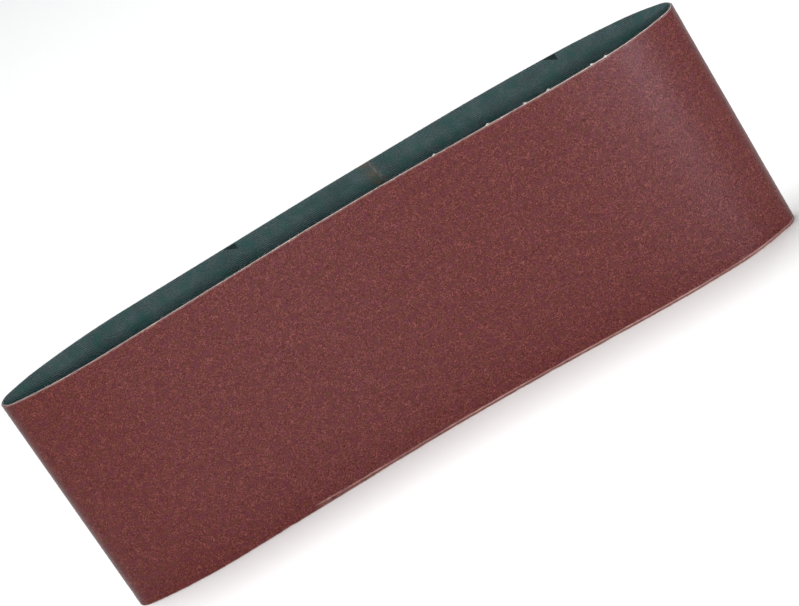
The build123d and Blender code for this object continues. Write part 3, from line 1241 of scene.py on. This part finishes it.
@dataclass
class CutEdges:
    """Yarn ends and loose fibres along the belt's two slit edges."""

    loop: BeltLoop
    dyed_rows: tuple[float, ...] = (0.19, 0.33)  # depths of the yarn ends that the dye reached
    pale_rows: tuple[float, ...] = (0.47,)
    yarn_radius: float = 0.13
    yarn_height: float = 0.20
    yarn_pitch: float = 0.42
    proud: float = 0.07  # how far yarn ends stand above the upper edge
    fibre_radius: float = 0.014
    fibre_pitch: float = 1.3
    fibre_rows: tuple[float, ...] = (0.3, 0.52)  # depths of the lines that stray fibres leave
    tufts: tuple[float, ...] = (43.0, 66.0, 82.0, 92.0, 110.5, 116.5)  # x of each tuft on the near run
    tuft_spread: float = 0.35
    tuft_fibres: int = 22
    tuft_depth: float = 0.42
    bow: tuple[Colour, ...] = ((0.0, 0.0, -0.2), (0.1, 0.05, 0.45), (0.75, 0.3, 0.5))  # of a fibre

    def lines(self, name: str, depths: Sequence[float], z: float) -> Piece:
        """Lines of edges round the strip at the given depths and one height.

        Args:
            name: Object name.
            depths: Depth of each line.
            z: Height of them all.

        Returns:
            The lines.
        """
        s = self.loop.stations(0.2, self.loop.length - 0.2, 0.3, 1.5)
        points, links = [], []
        for n in depths:
            first = len(points) * len(s)
            links += [(i, i + 1) for i in range(first, first + len(s) - 1)]
            points.append(self.loop.place(s, z, n))
        return new_line(name, np.concatenate(points), links)

    def yarn_tree(self) -> Tree:
        """Short upright stubs of yarn, uneven in size, lean and place."""
        growth = Growth("yarn_ends_on_lines", ("Pitch", "Radius", "Height", "Jitter"))
        given = growth.inputs
        values = {"Vertices": 6, "Radius": given.of("Radius"), "Depth": given.of("Height")}
        stub = growth.graph.add("GeometryNodeMeshCylinder", {"fill_type": "NGON"}, values)
        turn = growth.chances((-0.25, -0.25, 0.0), (0.25, 0.25, 3.0), 2)
        scale = growth.chances((0.7, 0.7, 0.8), (1.25, 1.25, 1.1), 3)
        stubs = growth.planted(growth.on_lines((1, 1, 1)), stub, turn, scale, 4)
        return growth.close(stubs, smooth=True)

    def fibre_tree(self) -> Tree:
        """Bent single fibres, each with its own length and lie."""
        growth = Growth("fibres_on_lines", ("Pitch", "Radius", "Shortest", "Longest", "Jitter"))
        g, given = growth.graph, growth.inputs
        bow = dict(zip(("Start", "Middle", "End"), self.bow))
        bow = g.add("GeometryNodeCurveQuadraticBezier", None, {"Resolution": 5, **bow})
        length = growth.chance(given.of("Shortest"), given.of("Longest"), 2)
        # The profile is scaled with its instance, so it is drawn for a fibre of middling length.
        values = {"Resolution": 3, "Radius": given.of("Radius") / (given.of("Longest") * 0.6)}
        profile = g.add("GeometryNodeCurvePrimitiveCircle", None, values)
        values = {"Curve": bow, "Profile Curve": profile, "Fill Caps": True}
        thread = g.add("GeometryNodeCurveToMesh", None, values)
        turn = growth.chances((-0.9, -0.9, 0.0), (0.9, 0.9, math.tau), 3)
        scale = g.scaled(growth.chances((0.9, 0.9, 0.5), (1.1, 1.1, 1.0), 4), length)
        threads = growth.planted(growth.on_lines((1, 1, 0)), thread, turn, scale, 5)
        return growth.close(threads, smooth=True)

    def tuft_lines(self) -> Piece:
        """A short edge where each tuft of torn yarn stands."""
        loop = self.loop
        along = np.linspace(0, loop.length, 12200, endpoint=False)
        x, _, heading = loop.trace(along)
        near = np.cos(heading) > 0.5
        points, links = [], []
        for i, place in enumerate(self.tufts):
            s = along[near][np.argmin(np.abs(x[near] - place))]
            ends = np.array([s - self.tuft_spread, s + self.tuft_spread])
            points.append(loop.place(ends, loop.width, self.tuft_depth))
            links.append((2 * i, 2 * i + 1))
        return new_line("tuft_lines", np.concatenate(points), links)

    def build(self) -> list[Piece]:
        """Grow the yarn ends, the stray fibres and the tufts."""
        yarn, fibre = self.yarn_tree(), self.fibre_tree()
        upper, lower = self.loop.width + self.proud - self.yarn_height / 2, self.yarn_height * 0.62
        sizes = {"Pitch": self.yarn_pitch, "Radius": self.yarn_radius}
        sizes |= {"Height": self.yarn_height, "Jitter": 0.04}
        rows = [
            ("yarn_ends_upper", self.dyed_rows, upper, DYED_COTTON),
            ("yarn_ends_lower", self.dyed_rows, lower, DYED_COTTON),
            ("pale_yarn_upper", self.pale_rows, upper - self.proud, CUT_COTTON),
            ("pale_yarn_lower", self.pale_rows, lower, CUT_COTTON),
        ]
        made = []
        for name, depths, z, stuff in rows:
            made.append(grown(self.lines(name + "_rows", depths, z), yarn, name, stuff, sizes))
        stray = {"Pitch": self.fibre_pitch, "Radius": self.fibre_radius}
        stray |= {"Shortest": 0.25, "Longest": 1.1, "Jitter": 0.45}
        lines = self.lines("fibre_rows", self.fibre_rows, self.loop.width)
        made.append(grown(lines, fibre, "stray_fibres", CUT_COTTON, stray))
        torn = {"Pitch": 2 * self.tuft_spread / self.tuft_fibres, "Radius": 0.05}
        torn |= {"Shortest": 0.3, "Longest": 0.95, "Jitter": 0.12}
        made.append(grown(self.tuft_lines(), fibre, "torn_tufts", FLUFF, torn))
        return [belongs(piece) for piece in made]


# ---------------- joint and print
@dataclass
class Joint:
    """The glue film in the scarf, and the line of glue that it squeezed out on the inner face."""

    loop: BeltLoop
    bead_width: float = 1.4
    bead_height: float = 0.16
    bead_across: int = 9
    bead_step: float = 0.4
    past_film: float = 0.45  # from the film's edge to the bead
    least_height: float = 0.02
    foot: float = 0.03

    def film_piece(self) -> Piece:
        """The film, from the inner face to the underside of the abrasive."""
        loop = self.loop
        half = np.array([-0.5, 0.5]) * loop.film_width()
        side, z = np.meshgrid(half, np.linspace(0, loop.width, 41))
        grids = [loop.place(loop.film_at(z, n) + side, z, n) for n in (loop.backing, 0.0)]
        piece = new_piece("joint_film", np.stack(grids), slab_faces(*z.shape))
        return belongs(piece, "splice_glue")

    def bead_piece(self) -> Piece:
        """The squeezed-out line: beads of uneven width and height, thin or broken between them."""
        loop = self.loop
        rows = np.linspace(0, loop.width, round(loop.width / self.bead_step) + 1)
        share, z = np.meshgrid(np.linspace(0, 1, self.bead_across), rows)
        swell = 0.40 + 0.95 * lumps(z, 0.0, 1.9, Seed.BEAD_SWELL)
        swell = np.clip(swell + 0.4 * lumps(z, 0.0, 0.8, Seed.BEAD_DROPS), 0.03, 1.15)
        wide = 0.5 + 0.5 * lumps(z, 3.0, 3.1, Seed.BEAD_WIDTH) + 0.1 * swell
        wide = self.bead_width * np.clip(wide, 0.3, 1.0)
        edge = loop.film_at(z, 0.0) + self.past_film + 0.15 * lumps(z, 5.0, 1.3, Seed.BEAD_PLACE)
        s = edge + share * wide
        dome = np.sqrt(np.clip(1 - (2 * share - 1) ** 2, 0, 1))
        skin = 0.85 + 0.15 * lumps(s, z, 0.5, Seed.BEAD_SKIN)
        depth = -self.bead_height * swell * dome * skin - self.least_height * dome
        crest = loop.place(s, z, np.minimum(depth, self.foot - 0.005))
        points = np.stack([loop.place(s, z, self.foot), crest])
        piece = new_piece("joint_squeeze_out", points, slab_faces(*z.shape))
        return belongs(piece, "splice_squeeze_out")

    def build(self) -> list[Piece]:
        """Make both and dress them in the joint's glue."""
        made = [self.film_piece(), self.bead_piece()]
        for piece in made:
            piece.data.materials.append(JOINT_GLUE.material())
        return made


@dataclass
class Print:
    """Direction arrows on the inner face, cut through lengthwise when the strip was slit."""

    loop: BeltLoop
    length: float = 5.3
    half_width: float = 2.8
    first: float = 72.7
    pitch: float = 155.8
    front: float = -0.075
    back: float = 0.03
    columns: int = 29
    ragged: float = 0.10
    ragged_pitch: float = 0.38
    blunt: float = 0.08  # least height of an arrow's tip

    def build(self) -> Piece:
        """Make every arrow, its lower edge a little ragged where ink missed the valleys."""
        loop = self.loop
        count = int((loop.length - self.first) / self.pitch) + 1
        points, faces = [], []
        for i in range(count):
            tip = float(loop.slant_at(loop.width)) - self.first - i * self.pitch
            share, up = np.meshgrid(np.linspace(1.0, 0.03, self.columns), np.array([0.0, 0.5, 1.0]))
            s = tip - share * self.length
            ragged = self.ragged * lumps(s, 0.0, self.ragged_pitch, Seed.PRINT + i) * (share < 0.98)
            tall = np.maximum(self.half_width * share + ragged, self.blunt)
            z = loop.width + 0.01 - tall * (1 - up)
            first = sum(len(p) for p in points)
            for n in (self.back, self.front):
                points.append(loop.place(s, z, n).reshape(-1, 3))
            faces.append(slab_faces(*z.shape) + first)
        piece = new_piece("print_arrows", np.concatenate(points), np.concatenate(faces))
        piece.data.materials.append(PRINT_INK.material())
        return belongs(piece, "direction_arrows")


# ---------------- camera, light and floor
@dataclass(frozen=True)
class Studio:
    """Pale floor, soft light and the camera's place."""

    elevation: float = 20.859
    yaw: float = -4.805
    roll: float = 32.49
    distance: float = 1239.9
    aim: Colour = (1.05, 0.0, 50.55)
    lens: float = 145.484
    sensor: float = 36.0
    lamp_aim: float = 0.05  # height that the lamps face, in metres
    floor_size: float = 6.0
    sky: Colour = (0.93, 0.96, 1.0)
    sky_strength: float = 0.10

    def camera(self) -> None:
        """Put the camera where it looks along the near run, rolled so that the belt climbs."""
        up_angle, turn, roll = (math.radians(a) for a in (self.elevation, self.yaw, self.roll))
        level = math.cos(up_angle)
        view = Vector((math.sin(turn) * level, math.cos(turn) * level, -math.sin(up_angle)))
        right = Vector((math.cos(turn), -math.sin(turn), 0.0))
        up = right.cross(view)
        x_axis = right * math.cos(roll) - up * math.sin(roll)
        y_axis = right * math.sin(roll) + up * math.cos(roll)
        data = bpy.data.cameras.new("camera")
        data.sensor_width, data.lens = self.sensor, self.lens
        camera = linked("camera", data)
        place = (Vector(self.aim) - view * self.distance) * MM
        turned = Matrix((x_axis, y_axis, -view)).transposed().to_4x4()
        camera.matrix_world = Matrix.Translation(place) @ turned
        bpy.context.scene.camera = camera

    def softbox(
        self,
        name: str,
        place: Colour,
        size: tuple[float, float],
        power: float,
        tint: Colour,
        gloss_only: bool = False,
    ) -> None:
        """A rectangular light that faces the belt.

        Args:
            name: Name of the lamp.
            place: Where it stands, in metres.
            size: Its two sides.
            power: In watts.
            tint: Its colour.
            gloss_only: Whether only highlights show it.
        """
        data = bpy.data.lights.new(name, "AREA")
        data.shape, data.size, data.size_y = "RECTANGLE", *size
        data.energy, data.color = power, tint
        lamp = linked(name, data)
        lamp.location = place
        facing = Vector((0, 0, self.lamp_aim)) - Vector(place)
        lamp.rotation_euler = facing.to_track_quat("-Z", "Y").to_euler()
        lamp.visible_diffuse = not gloss_only

    def build(self) -> None:
        """Make the camera, the lights, the sky and the floor."""
        self.camera()
        self.softbox("key", (0.5, -1.8, 0.60), (0.8, 0.36), 26.0, (1.0, 0.985, 0.96))
        self.softbox("overhead", (-0.4, 0.2, 2.2), (1.8, 1.4), 60.0, (0.98, 0.99, 1.0))
        self.softbox("right_strip", (0.44, -0.95, 0.08), (0.10, 0.5), 19.0, (0.94, 0.80, 1.0), True)
        world = bpy.data.worlds.new("soft_sky")
        world.use_nodes = True
        sky = world.node_tree.nodes["Background"]
        sky.inputs["Color"].default_value = (*self.sky, 1.0)
        sky.inputs["Strength"].default_value = self.sky_strength
        bpy.context.scene.world = world
        bpy.context.scene.view_settings.view_transform = "Standard"
        half = self.floor_size / 2
        corners = half * np.array([(-1, -1, 0), (1, -1, 0), (1, 1, 0), (-1, 1, 0)])
        floor = new_piece("floor", corners, [(0, 1, 2, 3)])
        floor.data.materials.append(PAPER.material())


def main() -> None:
    """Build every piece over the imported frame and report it."""
    logging.basicConfig(level=logging.INFO, format="%(name)s: %(message)s")
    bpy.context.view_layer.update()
    Studio().build()
    loop = BeltLoop()
    edges = Edges(loop)
    pieces = Laminate(loop, edges).build()
    pieces += [*Grains(loop, edges).build(), TwillRibs(loop).build(), *CutEdges(loop).build()]
    pieces += [*Joint(loop).build(), Print(loop).build()]
    for piece in pieces:
        piece.data.calc_loop_triangles()
        log.info("%s: %d triangles", piece.name, len(piece.data.loop_triangles))


if __name__ == "__main__":
    main()
